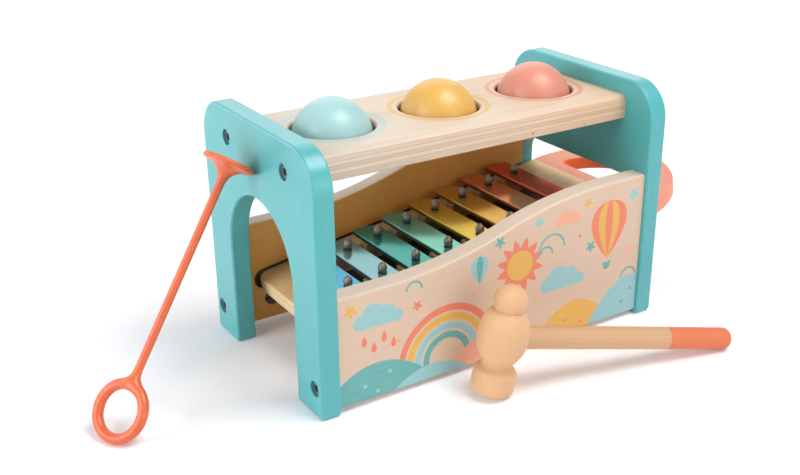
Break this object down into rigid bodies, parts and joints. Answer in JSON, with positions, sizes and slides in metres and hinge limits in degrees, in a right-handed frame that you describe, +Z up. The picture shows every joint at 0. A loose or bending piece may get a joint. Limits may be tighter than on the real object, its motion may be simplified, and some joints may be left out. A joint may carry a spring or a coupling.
{
  "type": "pounding bench",
  "caption": "Wooden pounding bench with balls in a pierced top board, a sloping slide-out xylophone tray, a mallet and a ring-handled beater.",
  "frame": {"origin": "on the floor, under the middle of the bounding box of the whole set: bench, tray handle, mallet and beater", "axes": "+X along the bench from the arched left end to the tray's handle, +Y from the printed front panel to the back, +Z up"},
  "size_m": [0.4042, 0.202, 0.156],
  "materials": {
    "end_paint": "satin turquoise paint",
    "board_wood": "bare plywood, clear satin lacquer",
    "front_panel_wood": "bare plywood with a printed pattern",
    "rear_panel_wood": "bare plywood, clear satin lacquer",
    "bolt_steel": "zinc plated",
    "nut_steel": "zinc plated",
    "dowel_wood": "bare beech",
    "ring_rubber": "matt black",
    "ball_mint": "gloss mint paint",
    "ball_yellow": "gloss yellow-orange paint",
    "ball_coral": "gloss coral paint",
    "tray_wood": "plywood, salmon paint on the handle",
    "rail_wood": "bare wood",
    "felt": "natural tan felt",
    "bar_1_paint": "satin paint",
    "bar_2_paint": "satin paint",
    "bar_3_paint": "satin paint",
    "bar_4_paint": "satin paint",
    "bar_5_paint": "satin paint",
    "bar_6_paint": "satin paint",
    "bar_7_paint": "satin paint",
    "bar_8_paint": "satin paint",
    "pin_metal": "grey",
    "grommet_rubber": "matt",
    "mallet_wood": "bare turned wood",
    "handle_wood": "bare wood, coral tip",
    "beater_plastic": "glossy orange"
  },
  "bodies": {
    "bench": {"left_end": "end_paint", "right_end": "end_paint", "top_board": "board_wood", "front_panel": "front_panel_wood", "rear_panel": "rear_panel_wood", "end_bolts": "bolt_steel", "barrel_nuts": "nut_steel", "locating_dowels": "dowel_wood", "grip_ring_left": "ring_rubber", "grip_ring_middle": "ring_rubber", "grip_ring_right": "ring_rubber"},
    "ball_left": {"ball_left": "ball_mint"},
    "ball_middle": {"ball_middle": "ball_yellow"},
    "ball_right": {"ball_right": "ball_coral"},
    "tray": {"tray_board": "tray_wood", "bar_rail_front": "rail_wood", "bar_rail_rear": "rail_wood", "felt_front": "felt", "felt_rear": "felt", "bar_1": "bar_1_paint", "bar_2": "bar_2_paint", "bar_3": "bar_3_paint", "bar_4": "bar_4_paint", "bar_5": "bar_5_paint", "bar_6": "bar_6_paint", "bar_7": "bar_7_paint", "bar_8": "bar_8_paint", "bar_pins": "pin_metal", "pin_grommets": "grommet_rubber"},
    "mallet": {"mallet_head": "mallet_wood", "mallet_handle": "handle_wood"},
    "beater": {"beater": "beater_plastic"}
  },
  "joints": [
    {"name": "ball_left_drop", "type": "slide", "parent": "bench", "child": "ball_left", "axis": [0, 0, 1], "range_m": [-0.0579, 0.06], "deforming": ["grip_ring_left"]},
    {"name": "ball_middle_drop", "type": "slide", "parent": "bench", "child": "ball_middle", "axis": [0, 0, 1], "range_m": [-0.0469, 0.06], "deforming": ["grip_ring_middle"]},
    {"name": "ball_right_drop", "type": "slide", "parent": "bench", "child": "ball_right", "axis": [0, 0, 1], "range_m": [-0.0359, 0.06], "deforming": ["grip_ring_right"]},
    {"name": "tray_slide", "type": "slide", "parent": "bench", "child": "tray", "axis": [0.9884, 0, 0.152], "range_m": [0, 0.18]},
    {"name": "mallet_lift", "type": "slide", "parent": "bench", "child": "mallet", "axis": [0, 0, 1], "range_m": [0, 0.15]},
    {"name": "beater_lift", "type": "slide", "parent": "bench", "child": "beater", "axis": [0, 0, 1], "range_m": [0, 0.15]}
  ]
}
